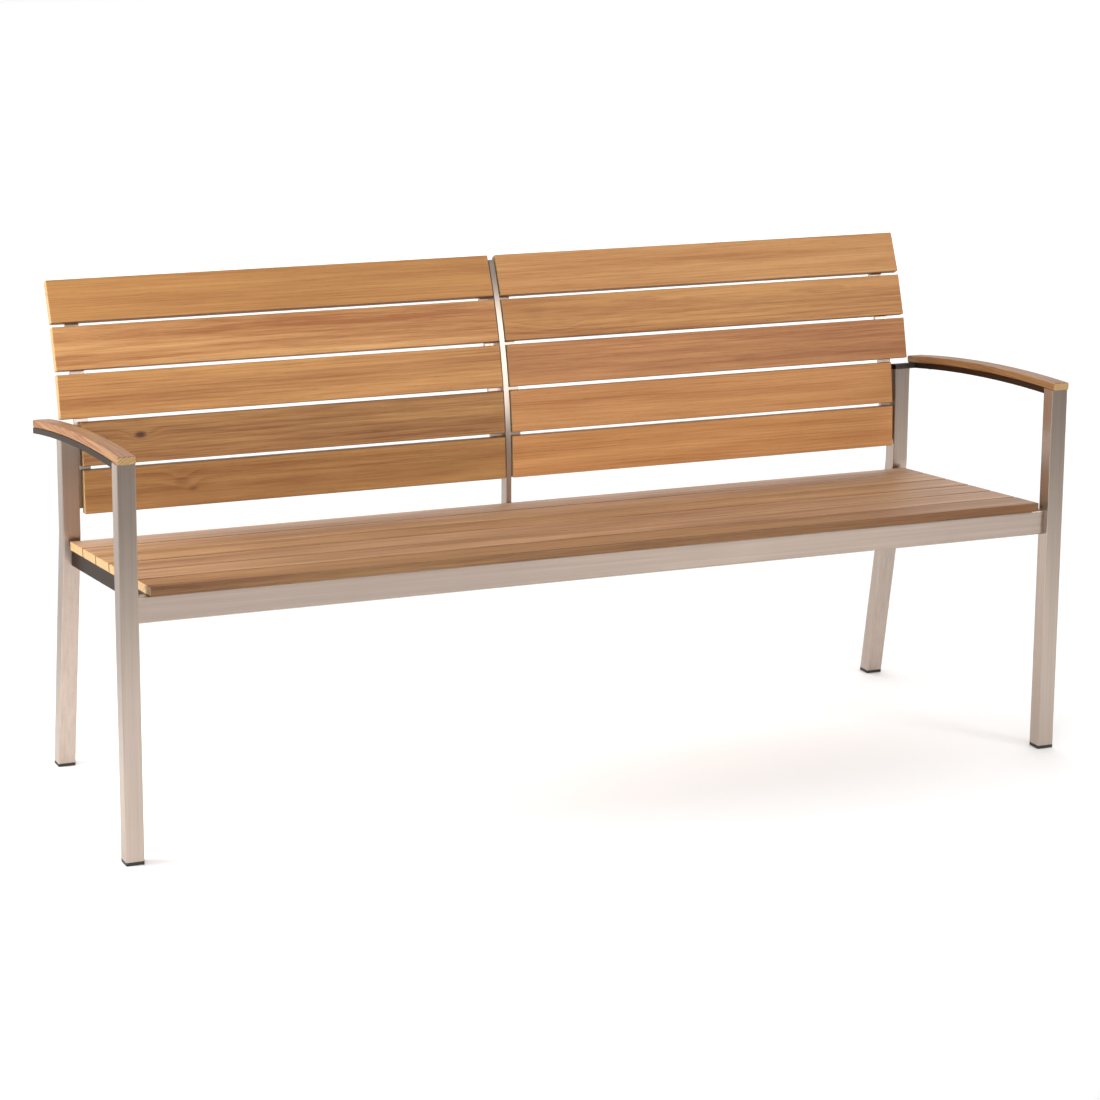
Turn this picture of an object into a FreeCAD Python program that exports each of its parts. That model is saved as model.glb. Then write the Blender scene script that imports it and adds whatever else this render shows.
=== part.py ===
import FreeCAD, Part
import Sketcher
import math
import os

# Garden bench: a welded frame of square and flat steel that carries wooden slats and armrests.
# X runs along the bench, Y from front to back, Z up. The origin is on the ground, under the
# middle of the bench's outline. Lengths are in millimetres and angles in degrees.

SIZES = {
    # frame
    "length": 1800,                # over the outer faces of the front legs
    "tube": 32,                    # side of the square leg tube
    "tube_wall": 2,
    "tube_corner": 2.5,            # outer corner radius of every tube
    "leg_gap": 10,                 # rear leg's outer face, inboard of the front leg's inner face
    "kink_drop": 25,               # rear leg's front face bends this far below the seat's top
    "rear_leg_splay": 10,          # lean of the rear leg below the bend
    "rear_leg_bend": 60,           # centre-line radius of the bend
    "cap_height": 6,               # foot cap below the end of the tube
    "plug_depth": 16,              # foot cap inside the tube
    "plug_clearance": 0.3,
    "front_rail_height": 45,
    "rail_depth": 20,              # front and rear rail, front to back, flush behind the legs
    "rear_rail_height": 40,
    "side_rail_height": 32,
    "side_rail_width": 24,
    "side_rail_cover": 6,          # slat end beyond the side rail's outer face
    # seat
    "seat_height": 475,            # top front edge of the seat
    "seat_tilt": 3.7,
    "seat_slats": 6,
    "slat_width": 79,
    "slat_thickness": 16,
    "slat_round": 1.6,
    "seat_gap": 5,
    "seat_end_gap": 20,            # between a slat's end and the front leg
    "seat_back_gap": 7,            # between the last slat and the rear leg
    "bearer_width": 30,
    "bearer_thickness": 8,
    "bearer_spread": 283,          # from the middle of the bench to each bearer
    # back
    "back_slats": 5,
    "back_short_slats": 2,         # lowest slats of each panel, between the rear legs
    "back_gap": 7,
    "back_radius": 930,            # curve that the front faces of the slats follow
    "back_rise": 15,               # bottom edge of the lowest back slat, above the seat's top
    "back_upper_end": 3,           # upper slats end this far inside the rear leg's outer face
    "back_lower_end": 7,           # lower slats end this far inside the rear leg's inner face
    "panel_gap": 14.4,
    "post_width": 10,
    "post_depth": 25,
    "post_setback": 3,             # behind the front faces of the slats
    "batten_width": 25,
    "batten_thickness": 8,
    "batten_margin": 8,            # battens end this far inside the panel's top and bottom edges
    # arms
    "arm_rise": 222.5,             # highest point of the armrest, above the seat's top
    "arm_apex": 20,                # where that is, behind the front face of the legs
    "arm_radius": 3600,
    "arm_thickness": 14,
    "arm_round": 3,
    "arm_overhang": 4,             # in front of the front leg
    "strip_thickness": 10,
    # fasteners
    "screw_radius": 2.3,
    "screw_head_radius": 4.6,
    "screw_head_height": 2.6,
    "screw_socket_radius": 1.7,
    "screw_socket_depth": 1.5,
    "screw_bite": 10,              # length of a screw inside the wood
    "screw_gap": 7.5,              # front row of seat screws, behind the front rail
    "screw_clearance": 0.25,       # round a screw, in steel
}

SIDES = (("left", -1), ("right", 1))
ARM_SCREWS = 3
SOCKET_SIDES = 6
TOLERANCE = 0.01                   # for telling which corner an edge is at


class Size:
    """A number together with the formula that gives it from the sheet."""

    def __init__(self, text, value):
        self.text = text
        self.value = value

    def __add__(self, other):
        return Size(f"({self.text} + {as_size(other).text})", self.value + as_size(other).value)

    def __sub__(self, other):
        return Size(f"({self.text} - {as_size(other).text})", self.value - as_size(other).value)

    def __mul__(self, other):
        return Size(f"({self.text} * {as_size(other).text})", self.value * as_size(other).value)

    def __truediv__(self, other):
        return Size(f"({self.text} / {as_size(other).text})", self.value / as_size(other).value)

    def __neg__(self):
        return Size(f"(0 - {self.text})", -self.value)


def as_size(number):
    return number if isinstance(number, Size) else Size(str(number), number)


def sine(angle):
    return Size(f"sin({angle.text})", math.sin(math.radians(angle.value)))


def cosine(angle):
    return Size(f"cos({angle.text})", math.cos(math.radians(angle.value)))


def tangent(angle):
    return Size(f"tan({angle.text})", math.tan(math.radians(angle.value)))


def arc_sine(ratio):
    return Size(f"(asin({ratio.text}) / 1deg)", math.degrees(math.asin(ratio.value)))


doc = FreeCAD.newDocument("garden_bench")
sheet = doc.addObject("Spreadsheet::Sheet", "Sizes")
for row, (alias, number) in enumerate(SIZES.items(), start=1):
    sheet.set(f"A{row}", alias)
    sheet.set(f"B{row}", str(number))
    sheet.setAlias(f"B{row}", alias)
doc.recompute()


def size(alias):
    return Size(f"Sizes.{alias}", SIZES[alias])


# ---------------------------------------------------------------- places shared by several pieces

tube = size("tube")
wall = size("tube_wall")
seat_height = size("seat_height")
slat_width = size("slat_width")
slat_thickness = size("slat_thickness")
seat_tilt = size("seat_tilt")
splay = size("rear_leg_splay")

front_leg_outer = size("length") / 2
front_leg_inner = front_leg_outer - tube
rear_leg_outer = front_leg_inner - size("leg_gap")
rear_leg_inner = rear_leg_outer - tube

seat_half = front_leg_inner - size("seat_end_gap")
seat_pitch = slat_width + size("seat_gap")
seat_depth = seat_pitch * size("seat_slats") - size("seat_gap")


def seat_y(along, above):
    """Y of a point that is `along` down the seat's slope and `above` its top face."""
    return along * cosine(seat_tilt) + above * sine(seat_tilt)


def seat_z(along, above):
    return seat_height - along * sine(seat_tilt) + above * cosine(seat_tilt)


def seat_underside(y):
    """Height of the slats' underside at a given Y."""
    return seat_height - slat_thickness / cosine(seat_tilt) - y * tangent(seat_tilt)


seat_rear = seat_y(seat_depth, as_size(0))
rear_leg_front = seat_rear + size("seat_back_gap")
rear_leg_back = rear_leg_front + tube
kink = seat_height - size("kink_drop")
kink_z = kink + tube / 2 * tangent(splay / 2)
kink_y = rear_leg_front + tube / 2


def rear_leg_face(z):
    """Y of the rear leg's front face at a height below the bend."""
    return rear_leg_front + (kink - z) * tangent(splay)


front_rail_top = seat_underside(tube)
side_rail_outer = seat_half - size("side_rail_cover")
side_rail_inner = side_rail_outer - size("side_rail_width")
rear_rail_top = seat_underside(rear_leg_front)
rear_rail_front = rear_leg_face(rear_rail_top - size("rear_rail_height"))

arm_height = seat_height + size("arm_rise")
arm_axis_z = arm_height - size("arm_radius")
arm_under = size("arm_radius") - size("arm_thickness")
strip_under = arm_under - size("strip_thickness")
arm_x = front_leg_outer - tube / 2

back_radius = size("back_radius")
back_height = seat_height + size("back_rise")
back_axis_y = seat_rear + back_radius
back_pitch = slat_width + size("back_gap")
degrees_per_length = Size("180 / pi", math.degrees(1)) / back_radius
batten_front = back_radius - slat_thickness
batten_mid = batten_front - size("batten_thickness") / 2
post_mid = back_radius - size("post_setback") - size("post_depth") / 2
back_length = back_pitch * size("back_slats") - size("back_gap")
post_sweep = (back_length - size("batten_margin")) * degrees_per_length
batten_sweep = (back_length - size("batten_margin") * 2) * degrees_per_length

outline_front = -size("arm_overhang")
outline_back = rear_leg_face(as_size(0)) + tube / cosine(splay)
outline_middle = (outline_front + outline_back) / 2


# ---------------------------------------------------------------- making and placing objects

def bind(item, **formulas):
    for name, formula in formulas.items():
        item.setExpression(name, as_size(formula).text)


def place(item, x=0, y=0, z=0, turn_x=0, fixed=None):
    """Put an object at X, Y, Z, turned about X; `fixed` is a constant rotation instead."""
    if fixed is None:
        item.Placement = FreeCAD.Placement(FreeCAD.Vector(), FreeCAD.Rotation(FreeCAD.Vector(1, 0, 0), 1))
        item.setExpression("Placement.Rotation.Angle", as_size(turn_x).text)
    else:
        item.Placement = FreeCAD.Placement(FreeCAD.Vector(), fixed)
    item.setExpression("Placement.Base.x", as_size(x).text)
    item.setExpression("Placement.Base.y", (as_size(y) - outline_middle).text)
    item.setExpression("Placement.Base.z", as_size(z).text)
    return item


def sketch_on(body, plane, name):
    sketch = body.newObject("Sketcher::SketchObject", name)
    support = next(item for item in body.Origin.OriginFeatures if item.Role == plane)
    sketch.AttachmentSupport = [(support, "")]
    sketch.MapMode = "FlatFace"
    return sketch


def name_constraint(sketch, constraint, name, formula):
    index = sketch.addConstraint(constraint)
    sketch.renameConstraint(index, name)
    sketch.setExpression(f"Constraints.{name}", formula.text)


def rectangle(sketch, width, height, middle=None, prefix="outer"):
    """A rectangle centred on the sketch's vertical axis, `middle` above its origin."""
    middle = as_size(0) if middle is None else middle
    half = width.value / 2
    low = middle.value - height.value / 2
    high = middle.value + height.value / 2
    corners = [(-half, low), (half, low), (half, high), (-half, high)]
    points = [FreeCAD.Vector(x, y, 0) for x, y in corners]
    first = sketch.GeometryCount
    for start, end in zip(points, points[1:] + points[:1]):
        sketch.addGeometry(Part.LineSegment(start, end))
    bottom, right, top, left = range(first, first + 4)
    for before, after in ((bottom, right), (right, top), (top, left), (left, bottom)):
        sketch.addConstraint(Sketcher.Constraint("Coincident", before, 2, after, 1))
    sketch.addConstraint(Sketcher.Constraint("Horizontal", bottom))
    sketch.addConstraint(Sketcher.Constraint("Horizontal", top))
    sketch.addConstraint(Sketcher.Constraint("Vertical", left))
    sketch.addConstraint(Sketcher.Constraint("Vertical", right))
    across = Sketcher.Constraint("DistanceX", bottom, 1, bottom, 2, width.value)
    name_constraint(sketch, across, f"{prefix}_width", width)
    upward = Sketcher.Constraint("DistanceY", right, 1, right, 2, height.value)
    name_constraint(sketch, upward, f"{prefix}_height", height)
    side = Sketcher.Constraint("DistanceX", -1, 1, bottom, 2, half)
    name_constraint(sketch, side, f"{prefix}_side", width / 2)
    rise = Sketcher.Constraint("DistanceY", -1, 1, right, 2, high)
    name_constraint(sketch, rise, f"{prefix}_top", middle + height / 2)


def outer_edges(shape, axis, half_a, half_b):
    """Names of the long edges at the outer corners of a bar that runs along `axis`."""
    names = []
    for number, edge in enumerate(shape.Edges, start=1):
        start, end = edge.firstVertex().Point, edge.lastVertex().Point
        across = [value for index, value in enumerate(start) if index != axis]
        along = abs(end[axis] - start[axis])
        at_corner = (abs(abs(across[0]) - half_a) < TOLERANCE
                     and abs(abs(across[1]) - half_b) < TOLERANCE)
        if at_corner and along > edge.Length / 2:
            names.append(f"Edge{number}")
    return names


PLANES = {"X": "YZ_Plane", "Y": "XZ_Plane", "Z": "XY_Plane"}


def straight_bar(name, axis, width, height, length, corner=None, hollow=False):
    """A bar along one axis, centred on its origin: solid, or a tube with rounded corners."""
    body = doc.addObject("PartDesign::Body", name)
    section = sketch_on(body, PLANES[axis], f"{name}_section")
    rectangle(section, width, height)
    pad = body.newObject("PartDesign::Pad", f"{name}_pad")
    pad.Profile = section
    pad.SideType = "Symmetric"
    bind(pad, Length=length)
    doc.recompute()
    if corner is not None:
        rounded = body.newObject("PartDesign::Fillet", f"{name}_corners")
        edges = outer_edges(pad.Shape, "XYZ".index(axis), width.value / 2, height.value / 2)
        rounded.Base = (pad, edges)
        bind(rounded, Radius=corner)
        doc.recompute()
    if hollow:
        bore = sketch_on(body, PLANES[axis], f"{name}_bore")
        rectangle(bore, width - wall * 2, height - wall * 2)
        pocket = body.newObject("PartDesign::Pocket", f"{name}_pocket")
        pocket.Profile = bore
        pocket.SideType = "Symmetric"
        bind(pocket, Length=length + wall * 2)
    return body


def soften(body, feature, radius):
    """Round every edge of a body."""
    softened = body.newObject("PartDesign::Fillet", f"{body.Name}_edges")
    softened.Base = (feature, [f"Edge{number + 1}" for number in range(len(feature.Shape.Edges))])
    bind(softened, Radius=radius)
    return body


def rounded_slat(name, depth, height, length):
    """A wooden bar along X with every edge rounded."""
    body = straight_bar(name, "X", depth, height, length)
    return soften(body, body.Tip, size("slat_round"))


def curved_bar(name, width, thickness, middle_radius, sweep, radius=None):
    """A bar bent about the X axis, from straight up towards the front."""
    body = doc.addObject("PartDesign::Body", name)
    section = sketch_on(body, "XZ_Plane", f"{name}_section")
    rectangle(section, width, thickness, middle_radius)
    turned = body.newObject("PartDesign::Revolution", f"{name}_bend")
    turned.Profile = section
    turned.ReferenceAxis = (section, ["H_Axis"])
    bind(turned, Angle=sweep)
    doc.recompute()
    return body if radius is None else soften(body, turned, radius)


def combine(kind, name, base, tool):
    result = doc.addObject(f"Part::{kind}", name)
    result.Base = base
    result.Tool = tool
    return result


def block(name, x, y, z, across, deep, tall, turn_x=0):
    """A plain box from a corner at X, Y, Z."""
    item = doc.addObject("Part::Box", name)
    bind(item, Length=across, Width=deep, Height=tall)
    return place(item, x, y, z, turn_x)


def arm_cylinder(name, radius):
    """Everything under the curve that the armrests follow, out to a given radius."""
    item = doc.addObject("Part::Cylinder", name)
    bind(item, Radius=radius, Height=size("length"))
    along_x = FreeCAD.Rotation(FreeCAD.Vector(0, 1, 0), 90)
    return place(item, -front_leg_outer, size("arm_apex"), arm_axis_z, fixed=along_x)


parts = {}


def keep(label, item):
    """Give a finished sub-part its own label, which names its file."""
    item.Label = label
    parts[label] = item
    return item


# ---------------------------------------------------------------- legs and foot caps

under_armrest = arm_cylinder("under_armrest", arm_under)
under_strip = arm_cylinder("under_strip", strip_under)
reach = size("length")             # larger than anything that the blocks below have to cover
ground_block = block("ground_block", -reach / 2, -reach / 2, -reach,
                     reach, reach, reach + size("cap_height"))


def front_leg(side, sign):
    bar_length = arm_height * 2
    body = straight_bar(f"front_tube_{side}", "Z", tube, tube, bar_length, size("tube_corner"), True)
    place(body, arm_x * sign, tube / 2, 0)
    grounded = combine("Cut", f"front_grounded_{side}", body, ground_block)
    keep(f"front_leg_{side}", combine("Common", f"front_trimmed_{side}", grounded, under_armrest))


def bent_tube(name, outer, corner, hollow):
    """The rear leg's full run: up its splayed length, round the bend and straight on."""
    bend = size("rear_leg_bend")
    tangent_run = bend * tangent(splay / 2)
    lower = (kink_z + tube) / cosine(splay)
    upper = arm_height - kink_z
    body = doc.addObject("PartDesign::Body", name)
    path = sketch_on(body, "YZ_Plane", f"{name}_path")
    start = FreeCAD.Vector(0, 0, 0)
    bend_start = FreeCAD.Vector(0, (lower - tangent_run).value, 0)
    centre = bend_start + FreeCAD.Vector(bend.value, 0, 0)
    turn = math.radians(splay.value)
    onward = FreeCAD.Vector(math.sin(turn), math.cos(turn), 0)
    bend_end = centre + FreeCAD.Vector(-math.cos(turn), math.sin(turn), 0) * bend.value
    end = bend_end + onward * (upper - tangent_run).value
    path.addGeometry(Part.LineSegment(start, bend_start))
    circle = Part.Circle(centre, FreeCAD.Vector(0, 0, 1), bend.value)
    path.addGeometry(Part.ArcOfCircle(circle, math.pi - turn, math.pi))
    path.addGeometry(Part.LineSegment(bend_end, end))
    path.addConstraint(Sketcher.Constraint("Coincident", 0, 1, -1, 1))
    path.addConstraint(Sketcher.Constraint("Vertical", 0))
    path.addConstraint(Sketcher.Constraint("Tangent", 0, 2, 1, 2))
    path.addConstraint(Sketcher.Constraint("Tangent", 1, 1, 2, 1))
    lower_length = Sketcher.Constraint("Distance", 0, (lower - tangent_run).value)
    name_constraint(path, lower_length, "lower_run", lower - tangent_run)
    upper_length = Sketcher.Constraint("Distance", 2, (upper - tangent_run).value)
    name_constraint(path, upper_length, "upper_run", upper - tangent_run)
    name_constraint(path, Sketcher.Constraint("Radius", 1, bend.value), "bend", bend)
    rise = (upper - tangent_run) * cosine(splay)
    climb = Sketcher.Constraint("DistanceY", 2, 1, 2, 2, rise.value)
    name_constraint(path, climb, "climb", rise)
    section = sketch_on(body, "XY_Plane", f"{name}_section")
    rectangle(section, outer, outer)
    pipe = body.newObject("PartDesign::AdditivePipe", f"{name}_pipe")
    pipe.Profile = section
    pipe.Spine = (path, ["Edge1", "Edge2", "Edge3"])
    doc.recompute()
    if corner is not None:
        rounded = body.newObject("PartDesign::Fillet", f"{name}_corners")
        rounded.Base = (pipe, side_edges(pipe.Shape, outer.value / 2))
        bind(rounded, Radius=corner)
        doc.recompute()
    if hollow:
        bore = sketch_on(body, "XY_Plane", f"{name}_bore")
        rectangle(bore, outer - wall * 2, outer - wall * 2)
        hole = body.newObject("PartDesign::SubtractivePipe", f"{name}_hole")
        hole.Profile = bore
        hole.Spine = (path, ["Edge1", "Edge2", "Edge3"])
        doc.recompute()
    foot_y = kink_y + lower * sine(splay)
    foot_z = kink_z - lower * cosine(splay)
    return body, foot_y, foot_z


def side_edges(shape, half):
    """Names of the edges that follow the bent tube's two flat sides."""
    names = []
    for number, edge in enumerate(shape.Edges, start=1):
        start, end = edge.firstVertex().Point, edge.lastVertex().Point
        on_side = abs(abs(start.x) - half) < TOLERANCE and abs(start.x - end.x) < TOLERANCE
        if on_side and abs(end.z - start.z) > edge.Length / 2:
            names.append(f"Edge{number}")
    return names


def rear_leg(side, sign):
    x = (rear_leg_outer - tube / 2) * sign
    body, foot_y, foot_z = bent_tube(f"rear_tube_{side}", tube, size("tube_corner"), True)
    place(body, x, foot_y, foot_z, splay)
    grounded = combine("Cut", f"rear_grounded_{side}", body, ground_block)
    keep(f"rear_leg_{side}", combine("Common", f"rear_trimmed_{side}", grounded, under_strip))


def foot_cap(place_name, side, x, y, lean):
    """A cap that carries on the line of the leg to the ground, with a plug inside the tube."""
    name = f"foot_cap_{place_name}_{side}"
    skirt_height = size("cap_height")
    plug_top = skirt_height + size("plug_depth")
    long_bar = plug_top * 4            # past both ends of the cap, however it leans
    skirt = straight_bar(f"{name}_skirt", "Z", tube, tube, long_bar, size("tube_corner"))
    place(skirt, x, y, 0, lean)
    plug_side = tube - (wall + size("plug_clearance")) * 2
    plug = straight_bar(f"{name}_plug", "Z", plug_side, plug_side, long_bar)
    place(plug, x, y, 0, lean)
    room = tube * 2 + plug_top
    low = block(f"{name}_low", x - room / 2, y - room / 2, 0, room, room, skirt_height)
    high = block(f"{name}_high", x - room / 2, y - room / 2, 0, room, room, plug_top)
    skirt_slice = combine("Common", f"{name}_skirt_slice", skirt, low)
    plug_slice = combine("Common", f"{name}_plug_slice", plug, high)
    keep(name, combine("Fuse", f"{name}_whole", skirt_slice, plug_slice))


# ---------------------------------------------------------------- rails under the seat

def cross_rails():
    """The rails between the front legs and between the rear legs."""
    front_height = size("front_rail_height")
    front = straight_bar("front_rail_tube", "X", size("rail_depth"), front_height,
                         front_leg_inner * 2, size("tube_corner"), True)
    front_y = tube - size("rail_depth") / 2
    keep("front_rail", place(front, 0, front_y, front_rail_top - front_height / 2))
    rear_height = size("rear_rail_height")
    rear = straight_bar("rear_rail_tube", "X", size("rail_depth"), rear_height,
                        rear_leg_inner * 2, size("tube_corner"), True)
    rear_y = rear_rail_front + size("rail_depth") / 2
    keep("rear_rail", place(rear, 0, rear_y, rear_rail_top - rear_height / 2))


def space_under_seat(name, rear_y, rear_lean):
    """Room from the back of the front rail to a face at the rear, which may lean."""
    whole = block(f"{name}_front", -reach / 2, tube, 0, reach, reach, reach)
    beyond = block(f"{name}_rear", -reach / 2, rear_y, 0, reach, reach, reach, rear_lean)
    return combine("Cut", name, whole, beyond)


def tilted_bar(name, x, width, thickness, corner=None, hollow=False):
    """A bar along the seat's slope, its top face against the underside of the slats."""
    body = straight_bar(name, "Y", width, thickness, seat_depth * 2, corner, hollow)
    middle = seat_depth / 2
    drop = -(slat_thickness + thickness / 2)
    return place(body, x, seat_y(middle, drop), seat_z(middle, drop), -seat_tilt)


def side_rail(side, sign, room):
    x = (side_rail_outer + side_rail_inner) / 2 * sign
    tube_bar = tilted_bar(f"side_tube_{side}", x, size("side_rail_width"), size("side_rail_height"),
                          size("tube_corner"), True)
    keep(f"side_rail_{side}", combine("Common", f"side_trimmed_{side}", tube_bar, room))


def slat_support(label, x, room, holes):
    """A flat bar that the slats are screwed down to, from below."""
    bar = tilted_bar(f"{label}_bar", x, size("bearer_width"), size("bearer_thickness"))
    trimmed = combine("Common", f"{label}_trimmed", bar, room)
    keep(label, combine("Cut", f"{label}_drilled", trimmed, holes))


# ---------------------------------------------------------------- screws

def seat_spots():
    """Under the seat: place and direction of each screw, for every slat and support."""
    tilt = math.radians(seat_tilt.value)
    direction = FreeCAD.Vector(0, math.sin(tilt), math.cos(tilt))
    ledge_x = side_rail_inner - size("bearer_width") / 2
    spots = []
    below = -(slat_thickness + size("bearer_thickness"))
    rows = [tube + size("screw_gap")]
    rows += [seat_pitch * index + slat_width / 2 for index in range(1, SIZES["seat_slats"])]
    for along in rows:
        for x in (-ledge_x, -size("bearer_spread"), size("bearer_spread"), ledge_x):
            point = FreeCAD.Vector(x.value, seat_y(along, below).value, seat_z(along, below).value)
            spots.append((point, direction))
    return spots


def back_spots():
    """Behind the back: two screws where each slat crosses a batten."""
    spots = []
    radius = (batten_front - size("batten_thickness")).value
    for index in range(SIZES["back_slats"]):
        for offset in (-slat_width / 4, slat_width / 4):
            angle = back_slat_angle(index) + offset * degrees_per_length
            turn = math.radians(angle.value)
            outward = FreeCAD.Vector(0, -math.cos(turn), math.sin(turn))
            for x in batten_places():
                centre = FreeCAD.Vector(x.value, back_axis_y.value, back_height.value)
                spots.append((centre + outward * radius, outward))
    return spots


def arm_spots():
    """Under the arm strips: a row of screws, clear of both legs, away from the arm's axis."""
    spots = []
    first = tube * 2
    last = rear_leg_front - tube
    step = (last - first) / (ARM_SCREWS - 1)
    for index in range(ARM_SCREWS):
        ratio = (first + step * index - size("arm_apex")) / size("arm_radius")
        turn = math.asin(ratio.value)
        outward = FreeCAD.Vector(0, math.sin(turn), math.cos(turn))
        centre = FreeCAD.Vector(0, SIZES["arm_apex"], arm_axis_z.value)
        for _, sign in SIDES:
            point = centre + outward * strip_under.value + FreeCAD.Vector(arm_x.value * sign, 0, 0)
            spots.append((point, outward))
    return spots


def spread(name, spots, make):
    """One object that holds a copy of a shape at each spot, pointing in its direction."""
    shift = FreeCAD.Vector(0, -outline_middle.value, 0)
    copies = []
    for point, direction in spots:
        copy = make.copy()
        turn = FreeCAD.Rotation(FreeCAD.Vector(0, 0, 1), direction)
        copy.Placement = FreeCAD.Placement(point + shift, turn)
        copies.append(copy)
    item = doc.addObject("Part::Feature", name)
    item.Shape = Part.makeCompound(copies)
    return item


def screw_shape(plate):
    """A button-head screw whose head sits on z = 0 and whose shank points up."""
    head_radius = SIZES["screw_head_radius"]
    head_height = SIZES["screw_head_height"]
    down = FreeCAD.Vector(0, 0, -1)
    head = Part.makeCylinder(head_radius, head_height, FreeCAD.Vector(), down)
    rim = [edge for edge in head.Edges if abs(edge.BoundBox.ZMax + head_height) < TOLERANCE]
    head = head.makeFillet(head_height / 2, rim)
    corner = FreeCAD.Vector(SIZES["screw_socket_radius"], 0, -head_height)
    corners = []
    for step in range(SOCKET_SIDES):
        turn = FreeCAD.Rotation(FreeCAD.Vector(0, 0, 1), 360 * step / SOCKET_SIDES)
        corners.append(turn.multVec(corner))
    hexagon = Part.Face(Part.makePolygon(corners + corners[:1]))
    socket = hexagon.extrude(FreeCAD.Vector(0, 0, SIZES["screw_socket_depth"]))
    shank = Part.makeCylinder(SIZES["screw_radius"], plate.value + SIZES["screw_bite"])
    return head.cut(socket).fuse(shank).removeSplitter()


def hole_shape(plate):
    """What a screw removes from the steel it passes through."""
    radius = SIZES["screw_radius"] + SIZES["screw_clearance"]
    return Part.makeCylinder(radius, plate.value)


# ---------------------------------------------------------------- back

def back_slat_angle(index):
    """Lean of a back slat, counted from the lowest."""
    return (back_pitch * index + slat_width / 2) * degrees_per_length


def batten_places():
    """X of the middle of each batten: beside the rear legs and beside the centre post."""
    outer = rear_leg_inner - size("batten_width") / 2
    inner = size("post_width") / 2 + size("batten_width") / 2
    return [-outer, -inner, inner, outer]


def back_bar(name, x, width, thickness, middle_radius, sweep):
    """A bar that follows the curve of the back, down from its top end."""
    bar = curved_bar(f"{name}_curve", width, thickness, middle_radius, sweep)
    return place(bar, x, back_axis_y, back_height, as_size(90) - post_sweep)


def centre_post():
    """It stands on the rear rail and then follows the curve of the back."""
    width = size("post_width")
    depth = size("post_depth")
    curve = back_bar("post", as_size(0), width, depth, post_mid, post_sweep)
    foot = block("post_foot", -width / 2, back_axis_y - post_mid - depth / 2, rear_rail_top,
                 width, depth, back_height - rear_rail_top)
    whole = combine("Fuse", "post_whole", curve, foot)
    whole.Refine = True
    keep("centre_post", whole)


def battens(holes):
    """Flat bars that end inside the panel's edges, against the rear legs and the post."""
    names = ("outer_left", "inner_left", "inner_right", "outer_right")
    for where, x in zip(names, batten_places()):
        bar = back_bar(f"batten_{where}", x, size("batten_width"), size("batten_thickness"),
                       batten_mid, batten_sweep)
        keep(f"back_batten_{where}", combine("Cut", f"batten_{where}_drilled", bar, holes))


def back_slats(screws):
    inner_end = size("panel_gap") / 2
    middle_radius = back_radius - slat_thickness / 2
    for side, sign in SIDES:
        for index in range(SIZES["back_slats"]):
            if index < SIZES["back_short_slats"]:
                outer_end = rear_leg_inner - size("back_lower_end")
            else:
                outer_end = rear_leg_outer - size("back_upper_end")
            name = f"back_slat_{side}_{index + 1}"
            angle = back_slat_angle(index)
            bar = rounded_slat(f"{name}_bar", slat_thickness, slat_width, outer_end - inner_end)
            x = (outer_end + inner_end) / 2 * sign
            y = back_axis_y - middle_radius * cosine(angle)
            place(bar, x, y, back_height + middle_radius * sine(angle), -angle)
            keep(name, combine("Cut", f"{name}_drilled", bar, screws))


# ---------------------------------------------------------------- seat slats and arms

def seat_slats(screws):
    for index in range(SIZES["seat_slats"]):
        name = f"seat_slat_{index + 1}"
        bar = rounded_slat(f"{name}_bar", slat_width, slat_thickness, seat_half * 2)
        along = seat_pitch * index + slat_width / 2
        drop = -slat_thickness / 2
        place(bar, 0, seat_y(along, drop), seat_z(along, drop), -seat_tilt)
        keep(name, combine("Cut", f"{name}_drilled", bar, screws))


def arm_angle(y, radius):
    """Angle behind the armrest's highest point at which a given radius of it reaches Y."""
    return arc_sine((y - size("arm_apex")) / radius)


def arm(side, sign, screws, holes):
    x = arm_x * sign
    apex = size("arm_apex")
    rear = arm_angle(rear_leg_back, size("arm_radius"))
    wood_sweep = rear - arm_angle(-size("arm_overhang"), size("arm_radius"))
    wood_mid = size("arm_radius") - size("arm_thickness") / 2
    wood = curved_bar(f"armrest_{side}_wood", tube, size("arm_thickness"), wood_mid, wood_sweep,
                      size("arm_round"))
    place(wood, x, apex, arm_axis_z, -rear)
    keep(f"armrest_{side}", combine("Cut", f"armrest_{side}_drilled", wood, screws))

    strip_mid = arm_under - size("strip_thickness") / 2
    strip = curved_bar(f"strip_{side}_long", tube, size("strip_thickness"), strip_mid,
                       rear - arm_angle(tube, strip_under))
    place(strip, x, apex, arm_axis_z, -rear)
    ear = curved_bar(f"strip_{side}_ear", front_leg_inner - rear_leg_inner, size("strip_thickness"),
                     strip_mid, rear - arm_angle(rear_leg_front, strip_under))
    place(ear, (front_leg_inner + rear_leg_inner) / 2 * sign, apex, arm_axis_z, -rear)
    whole = combine("Fuse", f"strip_{side}_whole", strip, ear)
    whole.Refine = True
    keep(f"arm_strip_{side}", combine("Cut", f"strip_{side}_drilled", whole, holes))


# ---------------------------------------------------------------- the bench

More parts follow.
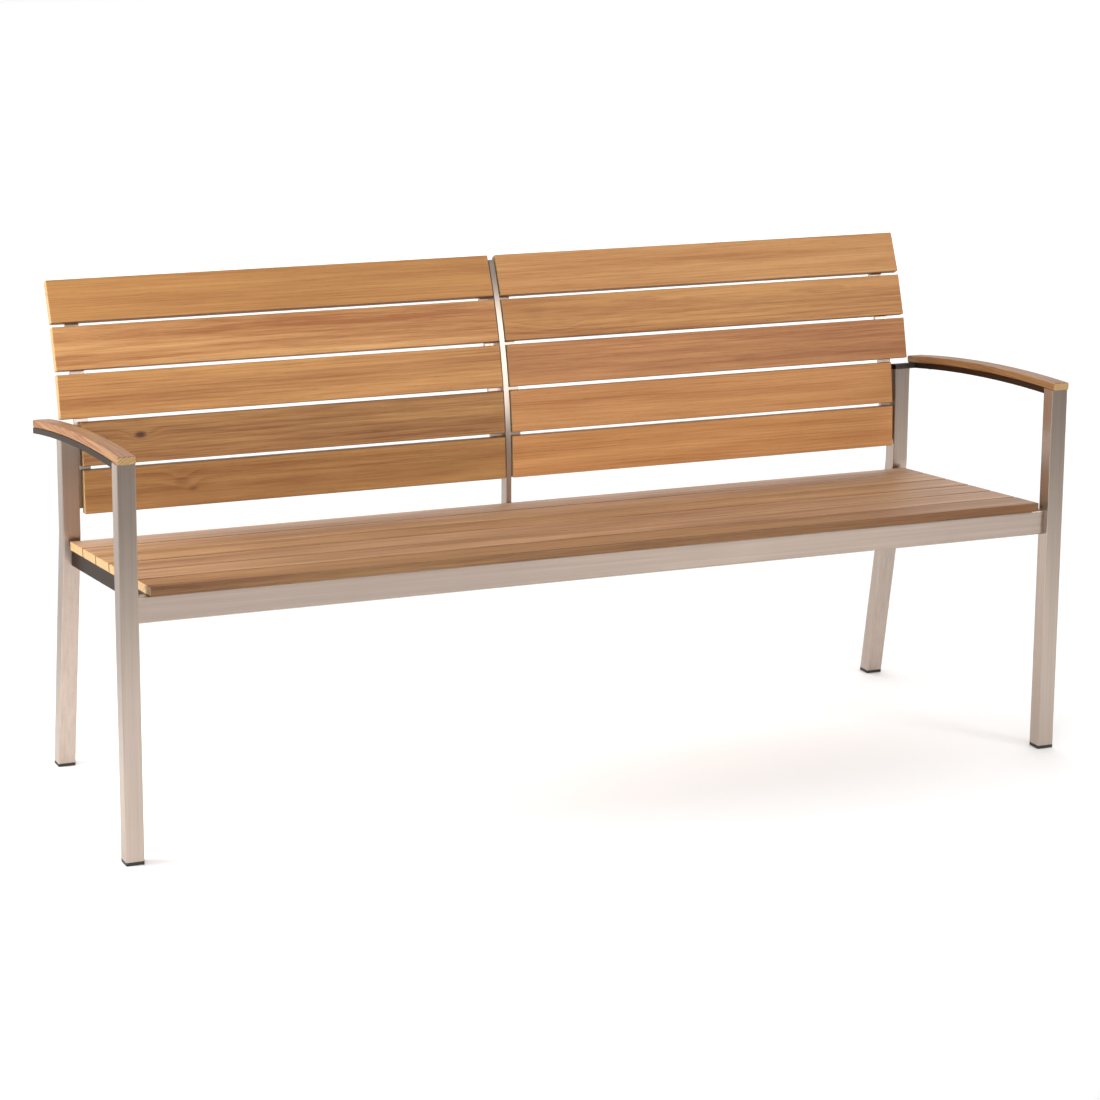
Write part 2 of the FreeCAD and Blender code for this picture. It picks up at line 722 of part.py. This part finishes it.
def build():
    for side, sign in SIDES:
        front_leg(side, sign)
        rear_leg(side, sign)
        foot_cap("front", side, arm_x * sign, tube / 2, 0)
        rear_axis_y = kink_y + kink_z * tangent(splay)
        foot_cap("rear", side, (rear_leg_outer - tube / 2) * sign, rear_axis_y, splay)
    cross_rails()

    bearer_plate = size("bearer_thickness")
    seat_screws = spread("seat_screw_group", seat_spots(), screw_shape(bearer_plate))
    seat_holes = spread("seat_holes", seat_spots(), hole_shape(bearer_plate))
    seat_slats(seat_screws)
    side_room = space_under_seat("side_room", rear_leg_face(as_size(0)), splay)
    bearer_room = space_under_seat("bearer_room", rear_rail_front, as_size(0))
    ledge_x = side_rail_inner - size("bearer_width") / 2
    for side, sign in SIDES:
        side_rail(side, sign, side_room)
        slat_support(f"seat_ledge_{side}", ledge_x * sign, bearer_room, seat_holes)
        slat_support(f"seat_bearer_{side}", size("bearer_spread") * sign, bearer_room, seat_holes)

    batten_plate = size("batten_thickness")
    back_screws = spread("back_screw_group", back_spots(), screw_shape(batten_plate))
    centre_post()
    battens(spread("back_holes", back_spots(), hole_shape(batten_plate)))
    back_slats(back_screws)

    strip_plate = size("strip_thickness")
    arm_screws = spread("arm_screw_group", arm_spots(), screw_shape(strip_plate))
    arm_holes = spread("arm_holes", arm_spots(), hole_shape(strip_plate))
    for side, sign in SIDES:
        arm(side, sign, arm_screws, arm_holes)

    keep("seat_screws", seat_screws)
    keep("back_screws", back_screws)
    keep("arm_screws", arm_screws)


def check():
    """Stop if any object failed or any sub-part has no sound shape."""
    for item in doc.Objects:
        if "Invalid" in item.State or "Error" in item.State:
            raise RuntimeError(f"{item.Label} did not compute")
    for label, item in parts.items():
        if item.Shape.isNull() or not item.Shape.isValid() or not item.Shape.Solids:
            raise RuntimeError(f"{label} has no sound shape")


def write():
    os.makedirs("parts", exist_ok=True)
    for label, item in parts.items():
        item.Shape.exportStep(f"parts/{label}.step")


build()
doc.recompute()
check()
write()
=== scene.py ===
import math

import bpy
from mathutils import Matrix, Quaternion, Vector


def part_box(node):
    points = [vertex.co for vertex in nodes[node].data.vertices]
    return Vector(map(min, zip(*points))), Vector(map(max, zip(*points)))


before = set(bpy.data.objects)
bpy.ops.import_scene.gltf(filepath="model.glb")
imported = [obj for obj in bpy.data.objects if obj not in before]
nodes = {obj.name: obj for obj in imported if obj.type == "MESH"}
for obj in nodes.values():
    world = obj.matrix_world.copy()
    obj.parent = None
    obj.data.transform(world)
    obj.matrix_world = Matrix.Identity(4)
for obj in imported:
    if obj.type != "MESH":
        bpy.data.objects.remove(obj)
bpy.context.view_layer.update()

MM = 0.001


def linear(code):
    """An sRGB hex colour as the linear values that shaders use."""
    channels = [int(code[start:start + 2], 16) / 255 for start in (1, 3, 5)]
    return [c / 12.92 if c <= 0.04045 else ((c + 0.055) / 1.055) ** 2.4 for c in channels] + [1.0]


def add(tree, kind, inputs=(), **settings):
    """Add a node, set its properties, fill or link its inputs, and return its first live output."""
    node = tree.nodes.new(kind)
    for name, value in settings.items():
        setattr(node, name, value)
    live = [socket for socket in node.inputs if socket.enabled]
    by_name = {socket.name: socket for socket in reversed(live)}
    pairs = inputs.items() if isinstance(inputs, dict) else enumerate(inputs)
    for key, value in pairs:
        socket = by_name[key] if isinstance(key, str) else live[key]
        if isinstance(value, bpy.types.NodeSocket):
            tree.links.new(value, socket)
        else:
            socket.default_value = value
    return next((socket for socket in node.outputs if socket.enabled), node)


def new_material(name):
    material = bpy.data.materials.new(name)
    material.use_nodes = True
    material.node_tree.nodes.clear()
    return material, material.node_tree


def dress(node, material):
    """Give a frame piece its finished material."""
    for slot in nodes[node].material_slots:
        slot.material = material


# ---------------------------------------------------------------- oiled teak

# Sawn and planed teak, oiled: a satin surface, brown-gold with darker growth bands. Every board
# is a different piece of wood: it has its own seed, one of these tones and a place in its log.
# Each tone is the pale early wood, the dark late wood, and the pores and knots; the last colour is also
# painted as shade on the edges and sides.
TONES = {
    "honey": ("#CD965D", "#A66C3A", "#603B1D"),
    "tan": ("#CE9B62", "#A87040", "#5E3A1E"),
    "straw": ("#C4986A", "#A0734B", "#5D3F25"),
    "rose": ("#B68C66", "#946A48", "#553A24"),
    "amber": ("#C69155", "#9C6636", "#54341A"),
    "russet": ("#BA824E", "#8F5831", "#4A2A18"),
    "brown": ("#AF814B", "#87582E", "#402612"),
    "umber": ("#A3794C", "#7F532F", "#412714"),
}

# The pith's slow wander and quick ripple along the log, and how much the years differ in width.
PITH_WANDER = 34 * MM
PITH_RIPPLE = 7 * MM
UNEVEN_YEARS = 2.2

# A knot turns the grain aside. These are parts of its own radius: how far its reach goes, how far
# the grain is pushed, and where its dark middle begins to fade and has faded. It is drawn out
# along the grain, because the branch leaves the log at a slant.
KNOT_REACH = 1.8
KNOT_PUSH = 1.6
KNOT_CORE = 0.25
KNOT_RIM = 1.1
KNOT_SLANT = 0.55

# How far each pattern moves the colour, from 0 for pale wood to 1 for dark, at a contrast of 1.
MIDDLE_DEPTH = 0.45
BAND_DEPTH = 2.4
FIBRE_DEPTH = 1.4
HAIR_DEPTH = 1.0
LATE_DEPTH = 0.3
PALEST = -0.25
DEEPEST = 1.25
PORE_DEPTH = 0.45


def streaks(tree, place, length, width, detail, roughness=0.55):
    """Noise drawn out along the grain, for streaks of about this length and width in metres."""
    scale = (1 / length, 1 / width, 1 / width)
    scaled = add(tree, "ShaderNodeVectorMath", (place, scale), operation="MULTIPLY")
    return add(tree, "ShaderNodeTexNoise",
               {"Vector": scaled, "Scale": 1.0, "Detail": detail, "Roughness": roughness})


def combine(tree, operation, *values):
    return add(tree, "ShaderNodeMath", values, operation=operation)


def knot(tree, axes, place, radius, darkness):
    """Two patterns round a knot: how near its middle is, and how dark the wood is there."""
    away_x = combine(tree, "SUBTRACT", axes["X"], place[0])
    away_y = combine(tree, "SUBTRACT", axes["Y"], place[1])
    far = add(tree, "ShaderNodeCombineXYZ",
              (combine(tree, "MULTIPLY", away_x, KNOT_SLANT), away_y, 0.0))
    far = add(tree, "ShaderNodeVectorMath", (far,), operation="LENGTH").node.outputs["Value"]
    near = combine(tree, "DIVIDE", far, radius * KNOT_REACH)
    near = combine(tree, "MULTIPLY", near, near)
    near = combine(tree, "MULTIPLY", near, -1.0)
    near = combine(tree, "EXPONENT", near)
    spot = add(tree, "ShaderNodeMapRange", {"Value": far, "From Min": radius * KNOT_CORE,
               "From Max": radius * KNOT_RIM, "To Min": darkness, "To Max": 0.0},
               interpolation_type="SMOOTHSTEP")
    return near, spot


def late_wood(tree, beside, below, ring):
    """The dark part of each year's ring, from the distance to the pith: it comes on slowly
    through the year and stops sharply at its end."""
    radial = add(tree, "ShaderNodeCombineXYZ", (0.0, beside, below))
    radial = add(tree, "ShaderNodeVectorMath", (radial,), operation="LENGTH").node.outputs["Value"]
    years = combine(tree, "DIVIDE", radial, ring)
    uneven = add(tree, "ShaderNodeTexNoise", {"W": years, "Scale": 0.37, "Detail": 2.0},
                 noise_dimensions="1D")
    years = combine(tree, "MULTIPLY_ADD", uneven, UNEVEN_YEARS, years)
    season = combine(tree, "FRACT", years)
    late = add(tree, "ShaderNodeMapRange", {"Value": season, "From Min": 0.25, "From Max": 0.92},
               interpolation_type="SMOOTHSTEP")
    rest = add(tree, "ShaderNodeMapRange", {"Value": season, "From Min": 0.92, "From Max": 1.0,
               "To Min": 1.0, "To Max": 0.0}, interpolation_type="SMOOTHSTEP")
    return combine(tree, "MULTIPLY", late, rest)


def teak(name, centre, along, up, tone, seed, pith, ring, contrast, knots=(), edge_shade=0.45):
    """Teak for one board. `along` is its grain and `up` its face; `pith` is where the log's
    middle lies beside and below the board, and `ring` the width of a year's growth. `knots` are
    (along, across, radius, darkness) from the board's middle, and `edge_shade` how far painted
    shade darkens its edges and sides.
    """
    material, tree = new_material(name)
    pale, dark, deep = (linear(code) for code in TONES[tone])
    across = up.cross(along)
    turn = Matrix((along, across, up)).to_4x4()
    where = add(tree, "ShaderNodeTexCoord").node.outputs["Object"]
    board = add(tree, "ShaderNodeMapping",
                {"Vector": where, "Location": -(turn @ centre), "Rotation": turn.to_euler()})
    # Each seed reads its own part of the noise.
    start = (seed * 3.7, seed * 1.3, seed * 2.1)
    log = add(tree, "ShaderNodeVectorMath", (board, start), operation="ADD")

    # Growth rings round the pith, which wanders along the log.
    wander = streaks(tree, log, 900 * MM, 120 * MM, 2.0)
    wander = combine(tree, "MULTIPLY_ADD", wander, PITH_WANDER, -PITH_WANDER / 2)
    ripple = streaks(tree, log, 220 * MM, 30 * MM, 3.0)
    ripple = combine(tree, "MULTIPLY_ADD", ripple, PITH_RIPPLE, -PITH_RIPPLE / 2)
    axes = add(tree, "ShaderNodeSeparateXYZ", (board,)).node.outputs
    beside = combine(tree, "ADD", axes["Y"], pith[0])
    beside = combine(tree, "ADD", beside, wander)
    below = combine(tree, "ADD", axes["Z"], pith[1])
    below = combine(tree, "ADD", below, ripple)
    core = None
    for knot_x, knot_y, radius, darkness in knots:
        near, spot = knot(tree, axes, (knot_x, knot_y), radius, darkness)
        beside = combine(tree, "MULTIPLY_ADD", near, radius * KNOT_PUSH, beside)
        core = spot if core is None else combine(tree, "MAXIMUM", core, spot)
    late = late_wood(tree, beside, below, ring)

    # Broad bands of heartwood, then streaks of fibre, then fine hairs, then the pores.
    band = streaks(tree, log, 600 * MM, 26 * MM, 3.0)
    fibre = streaks(tree, log, 130 * MM, 2.8 * MM, 4.0, 0.65)
    hair = streaks(tree, log, 50 * MM, 1.1 * MM, 3.0, 0.6)
    # Real pores are 0.3 mm wide: they are drawn about three times as wide so that they show.
    pore = streaks(tree, log, 24 * MM, 1.0 * MM, 2.0, 0.5)
    pore = add(tree, "ShaderNodeMapRange", {"Value": pore, "From Min": 0.60, "From Max": 0.74},
               interpolation_type="SMOOTHSTEP")
    pore = combine(tree, "MULTIPLY", pore, combine(tree, "MULTIPLY_ADD", late, 0.6, 0.4))

    depth = MIDDLE_DEPTH
    for pattern, strength in ((band, BAND_DEPTH), (fibre, FIBRE_DEPTH), (hair, HAIR_DEPTH)):
        lowered = combine(tree, "SUBTRACT", depth, strength * contrast / 2)
        depth = combine(tree, "MULTIPLY_ADD", pattern, strength * contrast, lowered)
    depth = combine(tree, "MULTIPLY_ADD", late, LATE_DEPTH * contrast, depth)
    depth = combine(tree, "MAXIMUM", combine(tree, "MINIMUM", depth, DEEPEST), PALEST)
    colour = add(tree, "ShaderNodeMix", {"Factor": depth, "A": pale, "B": dark}, data_type="RGBA",
                 clamp_factor=False)
    shown = combine(tree, "MULTIPLY", pore, PORE_DEPTH)
    colour = add(tree, "ShaderNodeMix", {"Factor": shown, "A": colour, "B": deep}, data_type="RGBA")
    if core is not None:
        colour = add(tree, "ShaderNodeMix", {"Factor": core, "A": colour, "B": deep}, data_type="RGBA")

    # Painted shade: the eased edges and sides are darkened towards the deep colour, for the shade in the
    # seams between the boards.
    facing = add(tree, "ShaderNodeNewGeometry").node.outputs["True Normal"]
    flat = add(tree, "ShaderNodeVectorMath", (facing, up), operation="DOT_PRODUCT").node.outputs["Value"]
    painted_edge_shade = add(tree, "ShaderNodeMapRange", {"Value": combine(tree, "ABSOLUTE", flat), "From Min": 0.97,
               "From Max": 0.80, "To Min": 0.0, "To Max": edge_shade}, interpolation_type="SMOOTHSTEP")
    colour = add(tree, "ShaderNodeMix", {"Factor": painted_edge_shade, "A": colour, "B": deep}, data_type="RGBA")

    # The sawn ends, across the grain, have a yellower tone of their own, painted paler than teak end grain
    # is: partly their own tone, partly painted light from the side.
    end = add(tree, "ShaderNodeVectorMath", (facing, along), operation="DOT_PRODUCT").node.outputs["Value"]
    end = combine(tree, "GREATER_THAN", combine(tree, "ABSOLUTE", end), 0.7)
    sawn_tone_and_light = add(tree, "ShaderNodeMix", {"Factor": late, "A": linear("#B29163"), "B": linear("#97754A")},
               data_type="RGBA")
    colour = add(tree, "ShaderNodeMix", {"Factor": end, "A": colour, "B": sawn_tone_and_light}, data_type="RGBA")

    sheen = combine(tree, "MULTIPLY_ADD", fibre, 0.16, 0.42)
    relief = combine(tree, "MULTIPLY_ADD", hair, 0.5, combine(tree, "MULTIPLY", pore, -1.0))
    relief = combine(tree, "MULTIPLY_ADD", fibre, 0.8, relief)
    bump = add(tree, "ShaderNodeBump", {"Height": relief, "Strength": 0.35, "Distance": 0.25 * MM})
    surface = add(tree, "ShaderNodeBsdfPrincipled",
                  {"Base Color": colour, "Roughness": sheen, "Normal": bump, "IOR": 1.5,
                   "Specular IOR Level": 0.35})
    add(tree, "ShaderNodeOutputMaterial", {"Surface": surface})
    return material


ALONG_BENCH = Vector((1, 0, 0))
FRONT_TO_BACK = Vector((0, 1, 0))
UPWARDS = Vector((0, 0, 1))


def middle(node):
    low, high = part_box(node)
    return (Vector(low) + Vector(high)) / 2


# The seat's slope, as the frame has it.
SEAT_TILT = math.radians(3.7)
SEAT_UP = Vector((0, math.sin(SEAT_TILT), math.cos(SEAT_TILT)))
# Seat boards from the front: tone, pith beside and below the board and ring width, both in
# metres, and contrast.
SEAT_BOARDS = [
    ("umber", (0.050, 0.09), 0.0046, 1.2),
    ("rose", (0.120, 0.05), 0.0040, 1.4),
    ("rose", (-0.150, 0.07), 0.0043, 1.3),
    ("straw", (0.090, 0.12), 0.0050, 1.4),
    ("straw", (-0.080, 0.06), 0.0041, 1.3),
    ("rose", (0.170, 0.08), 0.0048, 1.3),
]
for number, (tone, pith, ring, contrast) in enumerate(SEAT_BOARDS, start=1):
    node = f"seat_slat_{number}"
    seed = 1.7 * number
    dress(node, teak(f"oiled_teak_seat_{number}", middle(node), ALONG_BENCH, SEAT_UP, tone, seed,
                     pith, ring, contrast))

# The curve of the back, the step from board to board and their width, as the frame has them,
# in metres.
BACK_RADIUS = 0.930
BACK_PITCH = 0.086
BOARD_WIDTH = 0.079
RIGHT_SEED = 17.0
# Back boards from the lowest, as above, with the knots that some of them have, in metres but for
# their darkness.
BACK_BOARDS = {
    "left": [
        ("brown", (0.020, 0.07), 0.0060, 0.9, [(-0.225, 0.006, 0.010, 0.3), (-0.205, -0.008, 0.006, 0.35)]),
        ("brown", (-0.060, 0.05), 0.0070, 1.0, [(-0.298, 0.010, 0.008, 0.95)]),
        ("amber", (0.090, 0.10), 0.0052, 0.8, []),
        ("tan", (-0.030, 0.06), 0.0065, 1.1, []),
        ("amber", (0.140, 0.06), 0.0045, 0.6, []),
    ],
    "right": [
        ("honey", (0.110, 0.07), 0.0046, 0.7, []),
        ("honey", (-0.130, 0.05), 0.0044, 0.7, []),
        ("russet", (0.050, 0.09), 0.0052, 0.9, []),
        ("amber", (-0.020, 0.05), 0.0064, 0.9, [(-0.36, 0.010, 0.014, 0.12), (-0.31, -0.010, 0.010, 0.1)]),
        ("tan", (0.160, 0.06), 0.0048, 0.7, []),
    ],
}
for side, boards in BACK_BOARDS.items():
    for index, (tone, pith, ring, contrast, knots) in enumerate(boards):
        lean = (BACK_PITCH * index + BOARD_WIDTH / 2) / BACK_RADIUS
        face = Vector((0, -math.cos(lean), math.sin(lean)))
        node = f"back_slat_{side}_{index + 1}"
        seed = 11.3 + 2.9 * index + (RIGHT_SEED if side == "right" else 0.0)
        dress(node, teak(f"oiled_teak_back_{side}_{index + 1}", middle(node), ALONG_BENCH, face, tone, seed,
                         pith, ring, contrast, knots))

# The arms' edges and sides get only a little painted shade.
for seed, side in ((41.0, "left"), (47.0, "right")):
    node = f"armrest_{side}"
    dress(node, teak(f"oiled_teak_arm_{side}", middle(node), FRONT_TO_BACK, UPWARDS, "umber", seed,
                     (0.03, 0.04), 0.0042, 1.2, edge_shade=0.1))


# ---------------------------------------------------------------- steel

def brushed_stainless(name, along, dark, pale, rim="#FFFFFF"):
    """Stainless tube and flat bar, belt-brushed lengthwise: fine lines along each bar, so that
    highlights spread across it. `rim` tints what it reflects at a glancing angle."""
    material, tree = new_material(name)
    where = add(tree, "ShaderNodeTexCoord").node.outputs["Object"]
    # Belt lines are under 0.1 mm apart: they are drawn at 0.7 mm so that they show.
    fine = [1 / (220 * MM) if part else 1 / (0.7 * MM) for part in along]
    drawn = add(tree, "ShaderNodeVectorMath", (where, fine), operation="MULTIPLY")
    lines = add(tree, "ShaderNodeTexNoise", {"Vector": drawn, "Scale": 1.0, "Detail": 3.0, "Roughness": 0.6})
    wide = [1 / (500 * MM) if part else 1 / (6 * MM) for part in along]
    drawn = add(tree, "ShaderNodeVectorMath", (where, wide), operation="MULTIPLY")
    broad = add(tree, "ShaderNodeTexNoise", {"Vector": drawn, "Scale": 1.0, "Detail": 2.0})
    cloud = add(tree, "ShaderNodeTexNoise", {"Vector": where, "Scale": 9.0, "Detail": 3.0})
    shade = combine(tree, "MULTIPLY_ADD", lines, 0.5, combine(tree, "MULTIPLY", broad, 0.5))
    colour = add(tree, "ShaderNodeMix", {"Factor": shade, "A": linear(dark), "B": linear(pale)},
                 data_type="RGBA")
    rough = combine(tree, "MULTIPLY_ADD", lines, 0.12, 0.24)
    rough = combine(tree, "MULTIPLY_ADD", cloud, 0.06, rough)
    bump = add(tree, "ShaderNodeBump", {"Height": lines, "Strength": 0.25, "Distance": 0.05 * MM})
    normal = add(tree, "ShaderNodeNewGeometry").node.outputs["Normal"]
    across = add(tree, "ShaderNodeVectorMath", (normal, along), operation="CROSS_PRODUCT")
    surface = add(tree, "ShaderNodeBsdfPrincipled",
                  {"Base Color": colour, "Metallic": 1.0, "Roughness": rough, "Anisotropic": 0.8,
                   "Tangent": across, "Normal": bump, "Specular Tint": linear(rim)})
    add(tree, "ShaderNodeOutputMaterial", {"Surface": surface})
    return material


# The uprights and cross rails are warmer than bare stainless steel: partly its own tint, partly painted
# reflection of the teak.
uprights = brushed_stainless("brushed_stainless_uprights", UPWARDS, "#9E8F84", "#CABBAF")
cross_rails = brushed_stainless("brushed_stainless_cross_rails", ALONG_BENCH, "#94857A", "#C0B0A4")
# The side rails, ledges and bearers under the seat and the strips under the arms are the same steel, painted
# darker and duller, with greyer glancing reflections: painted shade under the seat and arms.
painted_dark_side_rails = brushed_stainless("brushed_stainless_side_rails_painted_dark", FRONT_TO_BACK, "#3C3735", "#625C58",
                               "#C8C2BE")
for node in nodes:
    if node.startswith(("front_leg", "rear_leg", "back_batten", "centre_post")):
        dress(node, uprights)
    elif node in ("front_rail", "rear_rail"):
        dress(node, cross_rails)
    elif node.startswith(("side_rail", "seat_ledge", "seat_bearer", "arm_strip")):
        dress(node, painted_dark_side_rails)


def tumbled_stainless():
    """Stainless screws, cold-headed and tumbled: brighter and smoother than the frame."""
    material, tree = new_material("tumbled_stainless_screws")
    where = add(tree, "ShaderNodeTexCoord").node.outputs["Object"]
    grit = add(tree, "ShaderNodeTexNoise", {"Vector": where, "Scale": 900.0, "Detail": 3.0})
    colour = add(tree, "ShaderNodeMix", {"Factor": grit, "A": linear("#A9A29C"), "B": linear("#D2CCC7")},
                 data_type="RGBA")
    rough = combine(tree, "MULTIPLY_ADD", grit, 0.14, 0.2)
    bump = add(tree, "ShaderNodeBump", {"Height": grit, "Strength": 0.2, "Distance": 0.04 * MM})
    surface = add(tree, "ShaderNodeBsdfPrincipled",
                  {"Base Color": colour, "Metallic": 1.0, "Roughness": rough, "Normal": bump})
    add(tree, "ShaderNodeOutputMaterial", {"Surface": surface})
    return material


def moulded_polyethylene():
    """Black polyethylene foot caps, moulded with a fine spark-eroded texture: matt and dark."""
    material, tree = new_material("moulded_polyethylene_caps")
    where = add(tree, "ShaderNodeTexCoord").node.outputs["Object"]
    grain = add(tree, "ShaderNodeTexNoise", {"Vector": where, "Scale": 1400.0, "Detail": 2.0})
    colour = add(tree, "ShaderNodeMix", {"Factor": grain, "A": linear("#191817"), "B": linear("#2B2927")},
                 data_type="RGBA")
    rough = combine(tree, "MULTIPLY_ADD", grain, 0.2, 0.5)
    bump = add(tree, "ShaderNodeBump", {"Height": grain, "Strength": 0.4, "Distance": 0.1 * MM})
    surface = add(tree, "ShaderNodeBsdfPrincipled",
                  {"Base Color": colour, "Roughness": rough, "Normal": bump, "IOR": 1.51})
    add(tree, "ShaderNodeOutputMaterial", {"Surface": surface})
    return material


screws = tumbled_stainless()
caps = moulded_polyethylene()
for node in nodes:
    if node.endswith("screws"):
        dress(node, screws)
    elif node.startswith("foot_cap"):
        dress(node, caps)


# ---------------------------------------------------------------- floor, light and camera

def studio_floor():
    """White paper under and behind the bench that gives way to grey in front of it: the grey is painted
    shade, for the studio light falling off towards the front.
    """
    bpy.ops.object.select_all(action="DESELECT")
    bpy.ops.mesh.primitive_plane_add(size=90, location=(0, 0, -0.5 * MM))
    floor = bpy.context.object
    floor.name = "studio_floor"
    material, tree = new_material("matt_floor_with_painted_shade")
    where = add(tree, "ShaderNodeTexCoord").node.outputs["Object"]
    axes = add(tree, "ShaderNodeSeparateXYZ", (where,)).node.outputs
    # Painted shade: grey in front of the bench, white from there back.
    paper_beyond_painted_shade = add(tree, "ShaderNodeMapRange", {"Value": axes["Y"], "From Min": -3.1, "From Max": -1.6})
    colour = add(tree, "ShaderNodeMix", {"Factor": paper_beyond_painted_shade, "A": linear("#928D88"), "B": linear("#FAFAFA")},
                 data_type="RGBA")
    surface = add(tree, "ShaderNodeBsdfPrincipled",
                  {"Base Color": colour, "Roughness": 0.9, "Specular IOR Level": 0.1})
    add(tree, "ShaderNodeOutputMaterial", {"Surface": surface})
    floor.data.materials.append(material)


def softbox(name, place, aim, width, height, power, spread):
    """A softbox with a grid in front of it, which narrows its spread to so many degrees."""
    data = bpy.data.lights.new(name, "AREA")
    data.shape = "RECTANGLE"
    data.size = width
    data.size_y = height
    data.energy = power
    data.spread = math.radians(spread)
    light = bpy.data.objects.new(name, data)
    bpy.context.collection.objects.link(light)
    light.location = place
    light.rotation_euler = (Vector(aim) - Vector(place)).to_track_quat("-Z", "Y").to_euler()
    light.visible_camera = False


def studio_light():
    world = bpy.data.worlds.new("studio")
    bpy.context.scene.world = world
    world.use_nodes = True
    tree = world.node_tree
    tree.nodes.clear()
    # Pale walls under a darker ceiling, both a little different before and behind the bench.
    direction = add(tree, "ShaderNodeTexCoord").node.outputs["Generated"]
    axes = add(tree, "ShaderNodeSeparateXYZ", (direction,)).node.outputs
    behind = add(tree, "ShaderNodeMapRange", {"Value": axes["Y"], "From Min": -0.25, "From Max": 0.25},
                 interpolation_type="SMOOTHSTEP")
    wall = combine(tree, "MULTIPLY_ADD", behind, -0.25, 1.0)
    ceiling = combine(tree, "MULTIPLY_ADD", behind, 0.3, 0.4)
    height = add(tree, "ShaderNodeMapRange", {"Value": axes["Z"], "From Min": 0.30, "From Max": 0.54},
                 interpolation_type="SMOOTHSTEP")
    room = add(tree, "ShaderNodeMix", {"Factor": height, "A": wall, "B": ceiling})
    glow = add(tree, "ShaderNodeBackground", {"Color": (1.0, 1.0, 1.0, 1.0), "Strength": room})
    add(tree, "ShaderNodeOutputWorld", {"Surface": glow})
    # Each softbox's place and aim, its width and height in metres, and its power in watts.
    softbox("key", (-2.6, -4.2, 3.2), (-0.1, 0.1, 0.5), 2.2, 1.8, 19, 100)
    softbox("front_right", (3.0, -4.2, 2.6), (0.6, 0, 0.5), 1.6, 1.6, 16, 90)
    softbox("side", (-2.1, 0.15, 1.0), (-0.8, 0.05, 0.6), 1.0, 0.9, 13, 100)
    softbox("low_front", (0.0, -1.6, 0.9), (0.0, -0.5, 0.0), 2.4, 0.5, 5, 120)
    softbox("background", (3.5, 12, 8), (3.5, 10, 0), 24, 14, 1500, 150)


def camera():
    data = bpy.data.cameras.new("camera")
    data.lens = 106.6
    data.sensor_width = 36
    data.shift_x = 0.0115
    data.shift_y = -0.0247
    view = bpy.data.objects.new("camera", data)
    bpy.context.collection.objects.link(view)
    view.location = (-2.3157, -5.3156, 1.7865)
    heading, pitch, roll = (math.radians(angle) for angle in (23.31, 13.03, 0.31))
    level = math.cos(pitch)
    ahead = Vector((math.sin(heading) * level, math.cos(heading) * level, -math.sin(pitch)))
    turned = ahead.to_track_quat("-Z", "Y") @ Quaternion((0, 0, 1), roll)
    view.rotation_euler = turned.to_euler()
    bpy.context.scene.camera = view


studio_floor()
studio_light()
camera()
bpy.context.scene.view_settings.view_transform = "Standard"
